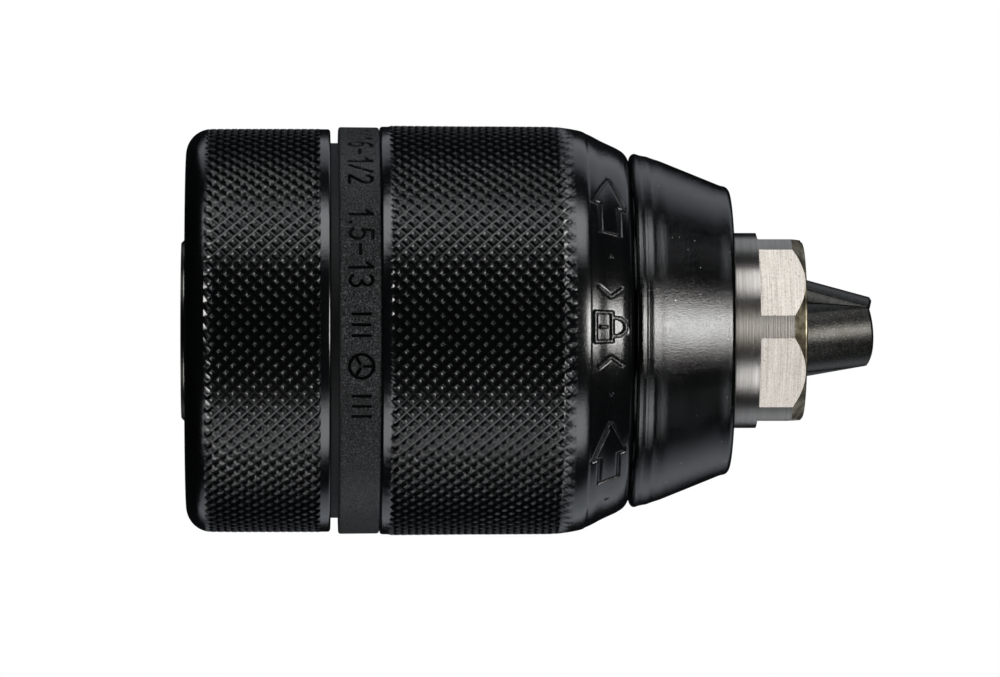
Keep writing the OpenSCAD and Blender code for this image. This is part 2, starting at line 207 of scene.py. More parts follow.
# Grooves for the nut's thread: heights above a jaw's axis and widths along it, the first and last one's
# place, how far their cutters stand out of the jaw and how far they turn to each side
GROOVE = ((3.05, 0.95), (4, 1.35))
GROOVE_PITCH = 2.0
GROOVE_ENDS = (-34.1, -7.2)
GROOVE_START = -0.35
GROOVE_CURVE_R = 13.0
GROOVE_ABOVE = 0.4
GROOVE_TURN = 30.0

# Light, floor and camera, in metres and watts
# Soft boxes: azimuth, elevation, distance, width, height, power and colour
COOL, SOFT_COOL, NEUTRAL = (0.86, 0.92, 1.0), (0.94, 0.97, 1.0), (1.0, 0.99, 0.97)
SOFT_BOXES = {
    "side_box_upper": (61, 0, 0.6, 0.33, 0.72, 3.2, SOFT_COOL),
    "side_box_lower": (-57.5, 0, 0.6, 0.32, 0.72, 2.7, SOFT_COOL),
    "nose_box": (3.5, 44, 0.7, 0.27, 0.26, 4.5, NEUTRAL),
    "rim_box_upper": (124, 12, 0.6, 0.37, 0.9, 0.88, COOL),
    "rim_box_lower": (-124, 12, 0.6, 0.37, 0.9, 0.88, COOL),
}
SOFT_BOX_TARGET = (0, 0, 0.035)
SURROUND_COLOUR, SURROUND_STRENGTH = (0.8, 0.9, 1.0, 1), 0.006
FLOOR_R, FLOOR_STEPS = 0.5, 96
FLOOR_DROP = 0.0005
CAMERA_YAW = 1.64
CAMERA_LENS, CAMERA_SENSOR = 270.3, 36.0
CAMERA_CLIP = (0.05, 20.0)
CAMERA_TARGET = (0.00084, 0, 0.03349)
CAMERA_DISTANCE = 0.79


# ---------------------------------------------------------------- meshes

def azimuths(count):
    """Evenly spaced azimuths round the whole circle."""
    return np.arange(count) * 360.0 / count


def azimuth_windows(windows, fine, coarse):
    """Azimuths with fine steps inside the windows, which are (from, to) pairs, and coarse ones elsewhere."""
    edges = sorted((a % 360.0, (b - a) % 360.0) for a, b in windows)
    found = []
    for k, (start, width) in enumerate(edges):
        found.append(start + np.linspace(0, width, round(width / fine), endpoint=False))
        following = edges[(k + 1) % len(edges)][0] + (360.0 if k == len(edges) - 1 else 0.0)
        gap = following - start - width
        found.append(start + width + np.linspace(0, gap, round(gap / coarse), endpoint=False))
    return np.sort(np.concatenate(found) % 360.0)


def arc(centre, radius, start, end, steps):
    """Points of a circular arc in a profile's (radius, height) plane."""
    turn = np.radians(np.linspace(start, end, steps + 1))
    return [(centre[0] + radius * math.cos(t), centre[1] + radius * math.sin(t)) for t in turn]


def smooth(x, knots):
    """Cubic curve through (x, y) knots."""
    xs, ys = np.array(knots, float).T
    slopes = np.gradient(ys, xs)
    k = np.clip(np.searchsorted(xs, x, side="right") - 1, 0, len(xs) - 2)
    h = xs[k + 1] - xs[k]
    t = (x - xs[k]) / h
    return ((2 * t**3 - 3 * t**2 + 1) * ys[k] + (t**3 - 2 * t**2 + t) * h * slopes[k]
            + (3 * t**2 - 2 * t**3) * ys[k + 1] + (t**3 - t**2) * h * slopes[k + 1])


def fade(x, low, high):
    """0 below low, 1 above high and a smooth step between."""
    t = np.clip((x - low) / (high - low), 0, 1)
    return t * t * (3 - 2 * t)


def zipper(a, b):
    """Triangles between two loops, each an array of azimuths from 0 to 360 and one of point numbers."""
    closed = [(np.append(turn, turn[0] + 360.0), np.append(at, at[0])) for turn, at in (a, b)]
    (turn_a, at_a), (turn_b, at_b) = closed
    i, j = 0, 0
    faces = []
    while i < len(at_a) - 1 or j < len(at_b) - 1:
        if i < len(at_a) - 1 and (j == len(at_b) - 1 or turn_a[i + 1] <= turn_b[j + 1]):
            faces.append((at_a[i], at_a[i + 1], at_b[j]))
            i += 1
        else:
            faces.append((at_a[i], at_b[j + 1], at_b[j]))
            j += 1
    return np.array(faces)


class Shell:
    """A closed solid made of loops round the axis: up its outside, over its front and down its bore."""

    def __init__(self):
        self.points, self.marks, self.faces, self.slots = [], [], [], []
        self.count, self.first, self.last, self.slot = 0, None, None, 0

    def add_points(self, around, radius, height, mark):
        """Adds points and returns their numbers."""
        turn = np.radians(around)
        shape = np.ones(np.shape(turn))
        places = np.stack([radius * np.cos(turn), radius * np.sin(turn), height * shape], -1)
        self.points.append(places.reshape(-1, 3))
        self.marks.append((mark * shape).ravel())
        numbers = self.count + np.arange(turn.size).reshape(turn.shape)
        self.count += turn.size
        return numbers

    def add_faces(self, faces, slots):
        """Adds faces with three or four corners, and their material slots."""
        self.faces += faces.tolist()
        self.slots += (slots * np.ones(len(faces), int)).tolist()

    def join(self, loop):
        """Joins a loop to the one before it."""
        if self.last is None:
            self.first = loop
        elif len(loop[0]) == len(self.last[0]) and np.allclose(loop[0], self.last[0]):
            low, high = self.last[1], loop[1]
            self.add_faces(np.stack([low, np.roll(low, -1), np.roll(high, -1), high], 1), self.slot)
        else:
            self.add_faces(zipper(self.last, loop), np.min(self.slot))
        self.last = loop

    def ring(self, around, radius, height, mark=0.0, slot=0):
        """Adds a ring, with its "mark" attribute and the material slot of the faces after it."""
        numbers = self.add_points(around, radius, height, mark)
        self.join((around, numbers))
        self.slot = slot

    def profile(self, around, points, slot=0):
        """Adds a plain ring for each (radius, height) point."""
        for r, z in points:
            self.ring(around, r, z, slot=slot)

    def knurl(self, start, end, surface, root):
        """Adds a diamond knurl as a lattice whose lines follow its grooves, so its ends are zigzags.

        surface(height) is the uncut radius and root(height) the grooves' radius.
        """
        steps = [np.array([edge, DIAMOND_EDGE, 0.5, 1 - DIAMOND_EDGE, 1 - edge]) for edge in GROOVE_EDGES]
        each = len(steps[0])
        i = np.arange(KNURL_COUNT * each)[None, :]
        j = np.arange(round(2 * each * (end - start) / KNURL_PERIOD))[:, None] - i
        p, q = [x // each + step[x % each] for x, step in zip((i, j), steps)]
        wide = [2 * np.abs(x - np.round(x)) for x in (p, q)]
        walls = [np.interp(x, (2 * edge, 2 * DIAMOND_EDGE), (0, 1)) for x, edge in zip(wide, GROOVE_EDGES)]
        wall = np.minimum(*walls)
        inward = [np.clip((x - 2 * DIAMOND_EDGE) / (1 - 2 * DIAMOND_EDGE), 0, 1) for x in wide]
        crater = 1 - np.hypot(1 - inward[0], 1 - inward[1])
        height = start + KNURL_PERIOD * (p + q) / 2
        around = (180.0 / KNURL_COUNT * (p - q)) % 360.0
        rise = root(height) + KNURL_DEPTH * wall - KNURL_CRATER * np.clip(crater, 0, 1)
        mark = (wall + crater * (wall == 1)) / 2
        at = self.add_points(around, np.minimum(surface(height), rise), height, mark)
        for row, beside in ((0, 1), (-2, -1)):
            turn = np.stack([around[row], np.roll(around[beside], -1)], 1).ravel()
            loop = np.stack([at[row], np.roll(at[beside], -1)], 1).ravel()
            order = np.argsort(turn)
            if row == 0:
                self.join((turn[order], loop[order]))
            else:
                self.last = turn[order], loop[order]
        corners = (at[:-2], np.roll(at[1:-1], -1, 1), np.roll(at[2:], -1, 1), at[1:-1])
        a, b, c, d = [x.ravel() for x in corners]
        rises = np.array([True, True, False, False, False])
        along = (rises[i % each] == rises[j[:-2] % each]).ravel()[:, None]
        self.add_faces(np.where(along, np.stack([a, b, c], 1), np.stack([a, b, d], 1)), 0)
        self.add_faces(np.where(along, np.stack([a, c, d], 1), np.stack([b, c, d], 1)), 0)
        self.slot = 0

    def build(self, name, sharp=SHARP):
        """The closed mesh object."""
        self.join(self.first)
        obj = mesh_object(name, np.concatenate(self.points), self.faces, sharp)
        marks = np.concatenate(self.marks)
        obj.data.polygons.foreach_set("material_index", self.slots)
        attribute = obj.data.attributes.new("mark", "FLOAT", "POINT")
        attribute.data.foreach_set("value", marks.astype(np.float32))
        return obj


def mesh_object(name, points, faces, sharp=SHARP):
    """A smooth-shaded mesh object with sharp edges where it turns by more than that angle."""
    mesh = bpy.data.meshes.new(name)
    mesh.from_pydata((np.asarray(points, float) * MM).tolist(), [], faces)
    mesh.polygons.foreach_set("use_smooth", [True] * len(mesh.polygons))
    mesh.set_sharp_from_angle(angle=math.radians(sharp))
    mesh.update()
    obj = bpy.data.objects.new(name, mesh)
    bpy.context.scene.collection.objects.link(obj)
    return obj


def prism(name, outline, low, high):
    """A solid with an (x, y) outline between two heights."""
    n = len(outline)
    points = [(x, y, low) for x, y in outline] + [(x, y, high) for x, y in outline]
    sides = [(i, (i + 1) % n, n + (i + 1) % n, n + i) for i in range(n)]
    return mesh_object(name, points, [tuple(reversed(range(n))), tuple(range(n, 2 * n))] + sides)


def apply_modifiers(obj):
    """Replaces an object's mesh with its modifiers' result."""
    graph = bpy.context.evaluated_depsgraph_get()
    result = bpy.data.meshes.new_from_object(obj.evaluated_get(graph))
    obj.modifiers.clear()
    obj.data = result


def carve(obj, tool, operation):
    """Cuts obj with a closed solid, which is then deleted."""
    modifier = obj.modifiers.new("carve", "BOOLEAN")
    modifier.operation = operation
    modifier.solver = "EXACT"
    modifier.object = tool
    apply_modifiers(obj)
    bpy.data.objects.remove(tool)


# ---------------------------------------------------------------- engraved marks

def ellipse(x, y, rx, ry, start, end, steps=10):
    """Points of an elliptic arc of a glyph."""
    turn = np.radians(np.linspace(start, end, steps + 1))
    return [(x + rx * math.cos(t), y + ry * math.sin(t)) for t in turn]


# Strokes of the numerals in a box of width and height 1
NUMERALS = {
    "1": [[(0.3, 0.74), (0.75, 1.0), (0.75, 0.0)]],
    "2": [ellipse(0.5, 0.72, 0.5, 0.28, 165, -35) + [(0.0, 0.0), (1.0, 0.0)]],
    "3": [ellipse(0.45, 0.76, 0.48, 0.24, 150, -90, 8) + ellipse(0.45, 0.26, 0.55, 0.26, 90, -150, 10)],
    "5": [[(0.95, 1.0), (0.15, 1.0), (0.05, 0.55)] + ellipse(0.45, 0.32, 0.55, 0.32, 125, -145)],
    "6": [ellipse(0.5, 0.31, 0.5, 0.31, 0, 360, 16), ellipse(1.0, 0.35, 1.0, 0.65, 90, 180)],
    "-": [[(0.05, 0.46), (0.95, 0.46)]],
    "/": [[(0.0, 0.0), (1.0, 1.0)]],
    ".": [[(0.5, 0.0), (0.5, 0.03)]],
}
HALF_ADVANCE = {"1": 2.2, "2": 2.5, "3": 2.4, "5": 2.45, "6": 2.45, "-": 2.35, "/": 2.05, ".": 1.2}
NUMERAL_W = 1.12
NUMERAL_H = 2.35


def text_marks(text, start):
    """Numerals that read round the ring from the azimuth start, as (azimuth, strokes in mm)."""
    marks, at = [], start
    for k, char in enumerate(text):
        if k:
            at += HALF_ADVANCE[text[k - 1]] + HALF_ADVANCE[char]
        strokes = [[((x - 0.5) * NUMERAL_W, (y - 0.5) * NUMERAL_H) for x, y in line]
                   for line in NUMERALS[char]]
        marks.append((at, strokes))
    return marks


def three_jaw_sign():
    """A circle with three jaws."""
    jaws = [[(0.3 * math.cos(t), 0.3 * math.sin(t)), (1.0 * math.cos(t), 1.0 * math.sin(t))]
            for t in np.radians([90, 210, 330])]
    return [ellipse(0, 0, 1.25, 1.25, 0, 360, 24)] + jaws


def arrow_sign(way):
    """Outline of an arrow that points towards smaller azimuths, or larger ones if way is -1."""
    apex, end = -4.3, 3.55
    half, stem = 1.75, 1.0
    outline = [(apex, 0), (0, half), (0, stem), (end, stem), (end, -stem), (0, -stem), (0, -half), (apex, 0)]
    return [[(way * x, y) for x, y in outline]]


def padlock_sign(lift):
    """A padlock, open where its shackle is lifted, between two chevrons."""
    body = [(-1.5, -1.6), (1.5, -1.6), (1.5, 0.15), (-1.5, 0.15), (-1.5, -1.6)]
    shackle = [(-0.95, 0.15)] + ellipse(0, 0.65 + lift, 0.95, 0.95, 180, 0) + [(0.95, 0.15 + 1.6 * lift)]
    way = 1 if lift == 0 else -1
    chevrons = [[(side * (3.6 + way * 0.5), 1.2), (side * (3.6 - way * 0.5), 0.0),
                 (side * (3.6 + way * 0.5), -1.2)] for side in (1, -1)]
    return [body, shackle, [(0, -0.5), (0, -1.0)]] + chevrons


DOT = [[(0.0, 0.0), (0.02, 0.0)]]
# Half the azimuth that a mark may take, and the distance in mm where there is none
MARK_HALF = 20.0
FAR = 9.0


def stroke_distance(around, heights, marks, radius, middle):
    """Distance in mm from each (height, azimuth) place to the nearest stroke of the marks."""
    nearest = np.full((len(heights), len(around)), FAR)
    for azimuth, strokes in marks:
        offset = (around - azimuth + 180.0) % 360.0 - 180.0
        columns = np.nonzero(np.abs(offset) < MARK_HALF)[0]
        s = np.radians(offset[columns])[None, :] * radius
        t = np.asarray(heights)[:, None] - middle
        for line in strokes:
            for (x0, y0), (x1, y1) in zip(line, line[1:]):
                dx, dy = x1 - x0, y1 - y0
                along = np.clip(((s - x0) * dx + (t - y0) * dy) / (dx * dx + dy * dy + 1e-9), 0, 1)
                d = np.hypot(s - x0 - along * dx, t - y0 - along * dy)
                nearest[:, columns] = np.minimum(nearest[:, columns], d)
    return nearest


# ---------------------------------------------------------------- sleeves

def rear_surface(height):
    """Radius of the rear sleeve before it is knurled: a round corner, then a slight taper."""
    corner_z = REAR_FACE_Z + REAR_CORNER_R
    below = np.clip(corner_z - height, 0, REAR_CORNER_R)
    along = np.clip((height - corner_z) / (REAR_GRIP[1] - corner_z), 0, None)
    corner = REAR_GRIP_R - REAR_CORNER_R + np.sqrt(REAR_CORNER_R**2 - below**2)
    return corner + (REAR_GRIP_END_R - REAR_GRIP_R) * along


def rear_root(height):
    """Radius of the rear sleeve's grooves, which run out on its corner."""
    return REAR_ROOT_R + REAR_ROOT_SLOPE * np.clip(REAR_ROOT_BEND_Z - height, 0, None)


def holding_sleeve():
    """Rear sleeve, which holds the chuck body."""
    few = azimuths(RING_STEPS)
    band = REAR_GRIP_END_R - BAND_DROP
    corner = (REAR_GRIP_R - REAR_CORNER_R, REAR_FACE_Z + REAR_CORNER_R)
    edge = (band - BAND_EDGE_R, REAR_TOP_Z - BAND_EDGE_R)
    shell = Shell()
    face = ((REAR_HOLE_R, 0.3), (9.8, 0.12), (14.0, 0.06))
    shell.profile(few, [(r, REAR_FACE_Z + z) for r, z in face])
    shell.profile(few, arc(corner, REAR_CORNER_R, -90, -14.5, 11))
    shell.knurl(*REAR_GRIP, rear_surface, rear_root)
    shell.profile(few, [(band, REAR_GRIP[1] + BAND_GAP)] + arc(edge, BAND_EDGE_R, 0, 90, 4))
    shell.profile(few, [(20.3, REAR_TOP_Z), *REAR_INSIDE])
    return shell.build("rear_sleeve", KNURL_SHARP)


def marking_ring():
    """Ring with the engraved size range."""
    marks = []
    halves = (FRONT, FRONT + 180.0)
    for half in halves:
        for text, at in RING_TEXTS:
            marks += text_marks(text, at + half)
        marks.append((RING_SIGN_AT + half, three_jaw_sign()))
        marks += [(tick + half, [[(0, -RING_TICK_HALF), (0, RING_TICK_HALF)]]) for tick in RING_TICKS_AT]
    windows = [(RING_MARKS[0] + half, RING_MARKS[1] + half) for half in halves]
    around = azimuth_windows(windows, RING_FINE, COARSE)
    few = azimuths(RING_STEPS)
    middle_r = RING_R - RING_CORNER
    shell = Shell()
    shell.profile(few, [(RING_BORE_R, RING_Z + 0.1), (RING_BORE_EDGE_R, RING_Z)])
    shell.profile(around, arc((middle_r, RING_Z + RING_CORNER), RING_CORNER, -90, 0, 4))
    heights = np.arange(RING_Z + 0.5, RING_TOP_Z - 0.4, RING_ROW)
    near = stroke_distance(around, heights, marks, RING_R, RING_MARKS_Z)
    for height, distance in zip(heights, near):
        cut = 1 - fade(distance, *RING_STROKE)
        taper = RING_TAPER * (height - RING_Z) / (RING_TOP_Z - RING_Z)
        shell.ring(around, RING_R - taper - RING_CUT * cut, height, mark=cut)
    shell.profile(around, arc((middle_r - RING_TAPER, RING_TOP_Z - RING_CORNER), RING_CORNER, 0, 90, 4))
    shell.profile(few, [(RING_BORE_EDGE_R, RING_TOP_Z), (RING_BORE_R, RING_TOP_Z - 0.1)])
    return shell.build("marking_ring_engraved")


def front_surface(height):
    """Radius of the front sleeve's outside before it is knurled."""
    return smooth(height, FRONT_SURFACE)


def front_root(height):
    """Radius of the front sleeve's grooves, which run out on the shoulder."""
    along = np.clip((height - FRONT_GRIP[0]) / (FRONT_GRIP_END_Z - FRONT_GRIP[0]), 0, 1)
    past = np.clip(height - FRONT_GRIP_END_Z, 0, None)
    rise = (FRONT_ROOT_R - FRONT_GRIP_R + KNURL_DEPTH) * along
    return FRONT_GRIP_R - KNURL_DEPTH + rise + FRONT_RUN_OUT * past


def legend_marks():
    """The front sleeve's signs, as (azimuth, strokes), and the azimuths that they reach."""
    marks, windows = [], []
    for half, way, lift in ((FRONT, 1, 0.0), (FRONT + 180.0, -1, 0.5)):
        signs = [(PADLOCK_AT, padlock_sign(lift), PADLOCK_REACH)]
        signs += [(side, arrow_sign(way), ARROW_REACH) for side in ARROWS_AT]
        signs += [(side, DOT, DOT_REACH) for side in DOTS_AT]
        for side, sign, reach in signs:
            marks.append((side + half, sign))
            windows.append((side + half - reach, side + half + reach))
    return marks, windows


def clamping_sleeve():
    """Front sleeve, which is turned by hand."""
    band = FRONT_GRIP_R - BAND_DROP
    few = azimuths(RING_STEPS)
    marks, windows = legend_marks()
    fine = azimuth_windows(windows, LEGEND_FINE, COARSE)
    edge = (band - BAND_EDGE_R, FRONT_Z + BAND_EDGE_R)
    shell = Shell()
    shell.profile(few, [(FRONT_BORE_R, FRONT_Z + 0.1), (19.8, FRONT_Z)])
    shell.profile(few, arc(edge, BAND_EDGE_R, -90, 0, 4) + [(band, FRONT_GRIP[0] - BAND_GAP)])
    shell.knurl(*FRONT_GRIP, front_surface, front_root)
    for height in np.linspace(*SHOULDER, 4):
        shell.ring(few, front_surface(height), height)
    heights = np.arange(*LEGEND, LEGEND_ROW)
    near = stroke_distance(fine, heights, marks, LEGEND_R, LEGEND_Z)
    for height, distance in zip(heights, near):
        cut = 1 - fade(distance, *LEGEND_STROKE)
        crease = LEGEND_CREASE_DEPTH * fade(height, *LEGEND_CREASE)
        shell.ring(fine, front_surface(height) - crease - LEGEND_CUT * cut, height, mark=cut)
    lip = (FRONT_EDGE_OUT_R - FRONT_EDGE_R * math.cos(math.radians(33)), FRONT_TOP_Z - FRONT_EDGE_R)
    shell.profile(few, arc(lip, FRONT_EDGE_R, 35, 90, 10))
    shell.profile(few, FRONT_INSIDE)
    return shell.build("front_sleeve", KNURL_SHARP)


def nose_cone():
    """Glossy cone pressed on the front of the body."""
    around = azimuths(NOSE_STEPS)
    few = azimuths(RING_STEPS)
    shell = Shell()
    shell.profile(around, [*NOSE_REAR] + arc(NOSE_FOOT, NOSE_FOOT_R, -90, 0, 5))
    for height in np.linspace(*NOSE_CURVED, 68):
        crease = sum(math.exp(-((height - z) / CREASE_WIDTH) ** 2) for z in NOSE_CREASES)
        shell.ring(around, smooth(height, NOSE_SURFACE) - CREASE_DEPTH * crease, height)
    start_z, tip_z = NOSE_CURVED[1], NOSE_TIP[1]
    slope = math.tan(math.radians(NOSE_SLOPE))
    straight = np.linspace(start_z + 0.3, tip_z - 0.2, 8)
    shell.profile(around, [(NOSE_SLOPE_R - (z - start_z) * slope, z) for z in straight])
    shell.profile(around, arc(NOSE_TIP, NOSE_TIP_R, NOSE_SLOPE, NOSE_TIP_END, 8))
    hole_r = COLLAR_R + 0.03
    shell.profile(few, [(COLLAR_R + 0.12, NOSE_TOP_Z), (hole_r, NOSE_TOP_Z - 0.1), (hole_r, COLLAR_Z),
                        (13.45, COLLAR_Z), (13.45, NOSE_Z + 0.1), (14.6, NOSE_Z), (14.6, 52.0), (16.2, 51.0)])
    return shell.build("nose_cone_gloss")


# ---------------------------------------------------------------- body and jaws

TURNED, GROUND, TINTED, BORE = range(4)


def hexagon_azimuths():
    """Azimuths along the wrench hexagon's flats and the strips between them, and half a strip's width."""
    half_strip = HEX_HALF - math.degrees(math.acos(HEX_AF / 2 / COLLAR_R))
    flat = np.linspace(0, 2 * (HEX_HALF - half_strip), 12)
    strip = 2 * HEX_HALF - half_strip + half_strip * np.array([-0.5, 0.0, 0.5])
    offsets = np.concatenate([flat, strip])
    starts = [HEX_TURN - HEX_HALF + half_strip + 2 * HEX_HALF * k for k in range(6)]
    return np.sort(np.concatenate([start + offsets for start in starts]) % 360.0), half_strip


def from_flat_middle(around):
    """How far azimuths are from the middle of the nearest flat of the hexagon."""
    return (around - HEX_TURN + HEX_HALF) % (2 * HEX_HALF) - HEX_HALF


def spindle_thread(shell):
    """Adds the spindle's thread, from the front down, to the shell of the body."""
    around = azimuths(BORE_STEPS)
    for k in range(int(THREAD_L / THREAD_PITCH * THREAD_STEPS)):
        turns = k / THREAD_STEPS
        height = THREAD_TOP_Z - turns * THREAD_PITCH
        phase = height / THREAD_PITCH - around / 360.0
        ridge = np.clip(THREAD_FLANK * np.abs(phase - np.round(phase)) - THREAD_FOOT, 0, 1)
        fading = fade(height, *THREAD_FADE) * (1 - fade(height, THREAD_TOP_Z - 1, THREAD_TOP_Z))
        shell.ring(around, SPINDLE_R - THREAD_DEPTH * ridge * fading, height, slot=BORE)


def chuck_body():
    """Steel body with its collar, wrench hexagon, spindle thread and bores."""
    around = azimuths(RING_STEPS)
    narrow = azimuths(BORE_STEPS)
    corners, half_strip = hexagon_azimuths()
    middles = (corners + np.append(corners[1:], corners[0] + 360.0)) / 2
    on_flat = np.abs(from_flat_middle(middles)) < HEX_HALF - half_strip
    flat_r = np.minimum(COLLAR_R, HEX_AF / 2 / np.cos(np.radians(from_flat_middle(corners))))
    shell = Shell()
    shell.profile(around, BODY_OUTSIDE)
    shell.profile(corners, [(COLLAR_R, z) for z in (COLLAR_Z + 0.5, HEX_Z - 0.35, HEX_Z - 0.05)])
    shell.ring(corners, flat_r, HEX_Z)
    shell.slot = np.where(on_flat, GROUND, TURNED)
    shell.ring(corners, flat_r, CHAMFER_Z + (COLLAR_R - flat_r) / CHAMFER_SLOPE, slot=TINTED)
    shell.ring(corners, CHAMFER_TOP_R, BODY_H - 0.22, slot=TINTED)
    edge = (CHAMFER_TOP_R - FACE_EDGE_R, BODY_H - FACE_EDGE_R)
    shell.profile(around, arc(edge, FACE_EDGE_R, 30, 90, 5), slot=TINTED)
    shell.profile(around, [(MOUTH_R + MOUTH_CHAMFER, BODY_H), (MOUTH_R, BODY_H - MOUTH_CHAMFER),
                           (MOUTH_R, GUIDE_TOP_Z), (TOOL_R, GUIDE_TOP_Z), (TOOL_R, FLOOR_Z)], slot=BORE)
    shell.profile(narrow, [(SCREW_R, FLOOR_Z), (SCREW_R, SPINDLE_L), (SPINDLE_R, SPINDLE_L)], slot=BORE)
    spindle_thread(shell)
    shell.profile(narrow, [(SPINDLE_R, 0.25), (SPINDLE_R + 0.25, 0.0)])
    obj = shell.build("chuck_body_turned")
    length = JAW_L + JAW_TRAVEL + JAW_BORE_REACH
    for azimuth in JAW_AZIMUTHS:
        carve(obj, jaw_rod("jaw_bore", azimuth, JAW_R + JAW_BORE_GAP, -length, 0.0, 0.0), "DIFFERENCE")
    shade(obj, BODY_SHARP)
    return obj


def shade(obj, sharp):
    """Smooth shading with sharp edges, set again after a cut."""
    obj.data.polygons.foreach_set("use_smooth", [True] * len(obj.data.polygons))
    obj.data.set_sharp_from_angle(angle=math.radians(sharp))


def jaw_rod(name, azimuth, radius, rear, front, chamfer):
    """A round rod on a jaw's axis, given by its ends' places along it."""
    around = np.radians(azimuths(ROD_STEPS))
    inner = radius - chamfer
    ends = [(inner, rear), (radius, rear + chamfer), (radius, front - chamfer), (inner, front)]
    if chamfer == 0:
        ends = [(radius, rear), (radius, front)]
    points = [(r * math.cos(t), r * math.sin(t), z) for r, z in ends for t in around]
    n = len(around)
    faces = [tuple(reversed(range(n))), tuple(range(n * (len(ends) - 1), n * len(ends)))]
    for k in range(len(ends) - 1):
        low, high = n * k, n * (k + 1)
        faces += [(low + i, low + (i + 1) % n, high + (i + 1) % n, high + i) for i in range(n)]
    obj = mesh_object(name, points, faces)
    place = (Matrix.Rotation(math.radians(azimuth), 4, "Z") @ Matrix.Translation((0, 0, JAW_CROSS_Z * MM))
             @ Matrix.Rotation(math.radians(-JAW_ANGLE), 4, "Y"))
    obj.data.transform(place)
    return obj


def jaw_grooves(azimuth):
    """Cutters for the grooves in a jaw's back, curved and inclined as the nut's thread is, as one object."""
    tilt = math.radians(JAW_ANGLE)
    lead = math.atan(GROOVE_PITCH * math.cos(tilt) / (2 * math.pi * GROOVE_CURVE_R))
    (floor_w, floor_l), (top_w, top_l) = GROOVE
    over_w = top_w + GROOVE_ABOVE
    over_l = top_l + (top_l - floor_l) / (top_w - floor_w) * GROOVE_ABOVE
    section = ((floor_w, -floor_l / 2), (floor_w, floor_l / 2), (over_w, over_l / 2), (over_w, -over_l / 2))
    turn = np.radians(np.linspace(-GROOVE_TURN, GROOVE_TURN, 25))
    phase = GROOVE_PITCH * (GROOVE_START + azimuth / 360.0)
    first, last = [(place - phase) / GROOVE_PITCH for place in GROOVE_ENDS]
    points, faces = [], []
    for k in range(math.ceil(first), math.floor(last) + 1):
        at_u = phase + k * GROOVE_PITCH
        centre = Vector((top_w * math.cos(tilt) - at_u * math.sin(tilt), 0,
                         JAW_CROSS_Z + top_w * math.sin(tilt) + at_u * math.cos(tilt)))
        start = len(points)
        for t in turn:
            for w, u in section:
                out = GROOVE_CURVE_R + (w - top_w) * math.cos(tilt) - u * math.sin(tilt)
                up = (w - top_w) * math.sin(tilt) + u * math.cos(tilt)
                point = Vector((out * math.cos(t) - GROOVE_CURVE_R, out * math.sin(t), up))
                points.append(centre + Matrix.Rotation(lead, 3, "X") @ point)
        for i in range(len(turn) - 1):
            a = start + 4 * i
            faces += [(a + j, a + 4 + j, a + 4 + (j + 1) % 4, a + (j + 1) % 4) for j in range(4)]
        end = len(points)
        faces += [(start, start + 1, start + 2, start + 3), (end - 1, end - 2, end - 3, end - 4)]
    obj = mesh_object("jaw_grooves", points, faces)
    fix = bmesh.new()
    fix.from_mesh(obj.data)
    bmesh.ops.recalc_face_normals(fix, faces=fix.faces)
    fix.to_mesh(obj.data)
    fix.free()
    obj.data.transform(Matrix.Rotation(math.radians(azimuth), 4, "Z"))
    return obj


def jaw(number, azimuth):
    """One jaw: a chamfered rod cut to a 120 degree wedge, with softened edges and a grooved back."""
    obj = jaw_rod(f"jaw_{number}_ground", azimuth, JAW_R, JAW_TIP - JAW_L, JAW_TIP, JAW_CHAMFER)
    half = math.radians(WEDGE_HALF)
    edge = JAW_GAP / 2 / math.sin(half)
    width = WEDGE_REACH * math.tan(half)
    corners = [(edge, 0.0), (edge + WEDGE_REACH, -width), (edge + WEDGE_REACH, width)]
    open_shift = JAW_TRAVEL * math.sin(math.radians(JAW_ANGLE))
    turns = np.radians(azimuths(RING_STEPS))
    rim = [(JAW_TAIL_R * math.cos(t) - open_shift, JAW_TAIL_R * math.sin(t)) for t in turns]
    for tool in (prism("wedge", corners, *JAW_CUT_Z), prism("tail", rim, *JAW_CUT_Z)):
        tool.data.transform(Matrix.Rotation(math.radians(azimuth), 4, "Z"))
        carve(obj, tool, "INTERSECT")
    bevel = obj.modifiers.new("soft edges", "BEVEL")
    bevel.width = JAW_EDGE * MM
    bevel.segments = 2
    bevel.limit_method = "ANGLE"
    bevel.angle_limit = math.radians(30)
    apply_modifiers(obj)
    carve(obj, jaw_grooves(azimuth), "DIFFERENCE")
    shade(obj, JAW_SHARP)
    return obj


# ---------------------------------------------------------------- materials

